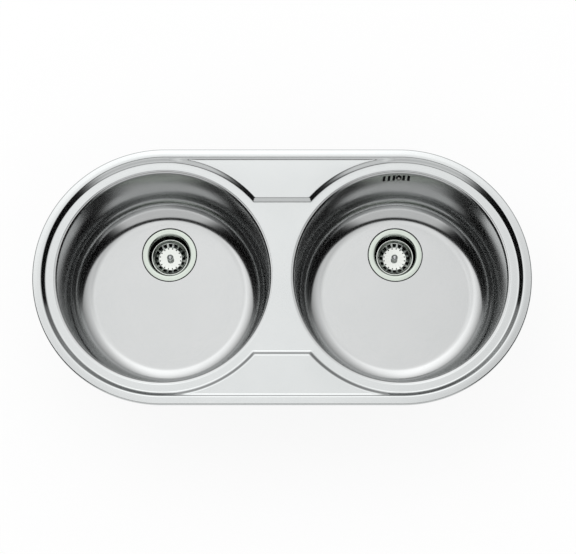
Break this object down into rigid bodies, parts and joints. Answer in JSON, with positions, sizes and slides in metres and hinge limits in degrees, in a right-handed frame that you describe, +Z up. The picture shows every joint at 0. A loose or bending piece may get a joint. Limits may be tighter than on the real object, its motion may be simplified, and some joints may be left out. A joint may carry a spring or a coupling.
{
  "type": "double bowl kitchen sink",
  "caption": "Round-ended stainless inset sink with two round bowls, raised tap ledges, lift-out basket strainers, an overflow and clip fixings.",
  "frame": {"origin": "middle of the sink in the plane of the worktop that it hangs in", "axes": "+X along the sink to the right bowl, +Y towards the wall behind, +Z up"},
  "size_m": [0.84, 0.44, 0.258],
  "materials": {
    "deck_steel": "fine linen-like satin finish on 18/10 stainless sheet",
    "bowl_steel": "drawn and satin-polished 18/10 stainless",
    "polished_steel": "polished stainless pressing",
    "chrome": "bright chrome plating",
    "black_rubber": "matte moulded rubber",
    "grey_foam": "closed-cell foam strip",
    "grey_pad": "matte bitumen-like deadening pad",
    "white_plastic": "moulded polypropylene",
    "grey_plastic": "blow-moulded flexible plastic",
    "plated_steel": "zinc-plated strip",
    "screw_steel": "bright stainless screws"
  },
  "bodies": {
    "sink": {"clip_brackets": "plated_steel", "clip_screws": "screw_steel", "deck": "deck_steel", "hose_lower_nut": "white_plastic", "hose_upper_nut": "white_plastic", "left_bowl": "bowl_steel", "left_centre_screw": "screw_steel", "left_flange_gasket": "black_rubber", "left_inlet_cap": "white_plastic", "left_lower_gasket": "black_rubber", "left_sound_pad": "grey_pad", "left_strainer_body": "polished_steel", "left_strainer_cross": "polished_steel", "left_waste_body": "white_plastic", "overflow_elbow": "white_plastic", "overflow_gasket": "black_rubber", "overflow_hose": "grey_plastic", "overflow_screw": "screw_steel", "right_bowl": "bowl_steel", "right_centre_screw": "screw_steel", "right_flange_gasket": "black_rubber", "right_lower_gasket": "black_rubber", "right_sound_pad": "grey_pad", "right_strainer_body": "polished_steel", "right_strainer_cross": "polished_steel", "right_waste_body": "white_plastic", "rim_seal": "grey_foam"},
    "left_basket_set": {"left_basket": "polished_steel", "left_basket_knob": "chrome", "left_basket_seal": "black_rubber"},
    "right_basket_set": {"right_basket": "polished_steel", "right_basket_knob": "chrome", "right_basket_seal": "black_rubber"},
    "claw_1": {"clip_claw_1": "plated_steel"},
    "claw_2": {"clip_claw_2": "plated_steel"},
    "claw_3": {"clip_claw_3": "plated_steel"},
    "claw_4": {"clip_claw_4": "plated_steel"},
    "claw_5": {"clip_claw_5": "plated_steel"},
    "claw_6": {"clip_claw_6": "plated_steel"},
    "claw_7": {"clip_claw_7": "plated_steel"},
    "claw_8": {"clip_claw_8": "plated_steel"}
  },
  "joints": [
    {"name": "left_basket_lift", "type": "slide", "parent": "sink", "child": "left_basket_set", "axis": [0, 0, 1], "range_m": [0, 0.21]},
    {"name": "right_basket_lift", "type": "slide", "parent": "sink", "child": "right_basket_set", "axis": [0, 0, 1], "range_m": [0, 0.21]},
    {"name": "claw_1_swing", "type": "hinge", "parent": "sink", "child": "claw_1", "pos_m": [-0.35014, -0.12599, -0.041], "axis": [0, 0, 1], "range_deg": [0, 90]},
    {"name": "claw_2_swing", "type": "hinge", "parent": "sink", "child": "claw_2", "pos_m": [-0.35014, 0.12599, -0.041], "axis": [0, 0, 1], "range_deg": [0, 90]},
    {"name": "claw_3_swing", "type": "hinge", "parent": "sink", "child": "claw_3", "pos_m": [0.35014, -0.12599, -0.041], "axis": [0, 0, 1], "range_deg": [0, 90]},
    {"name": "claw_4_swing", "type": "hinge", "parent": "sink", "child": "claw_4", "pos_m": [0.35014, 0.12599, -0.041], "axis": [0, 0, 1], "range_deg": [0, 90]},
    {"name": "claw_5_swing", "type": "hinge", "parent": "sink", "child": "claw_5", "pos_m": [-0.062, -0.196, -0.041], "axis": [0, 0, 1], "range_deg": [0, 90]},
    {"name": "claw_6_swing", "type": "hinge", "parent": "sink", "child": "claw_6", "pos_m": [-0.062, 0.196, -0.041], "axis": [0, 0, 1], "range_deg": [0, 90]},
    {"name": "claw_7_swing", "type": "hinge", "parent": "sink", "child": "claw_7", "pos_m": [0.062, -0.196, -0.041], "axis": [0, 0, 1], "range_deg": [0, 90]},
    {"name": "claw_8_swing", "type": "hinge", "parent": "sink", "child": "claw_8", "pos_m": [0.062, 0.196, -0.041], "axis": [0, 0, 1], "range_deg": [0, 90]}
  ]
}
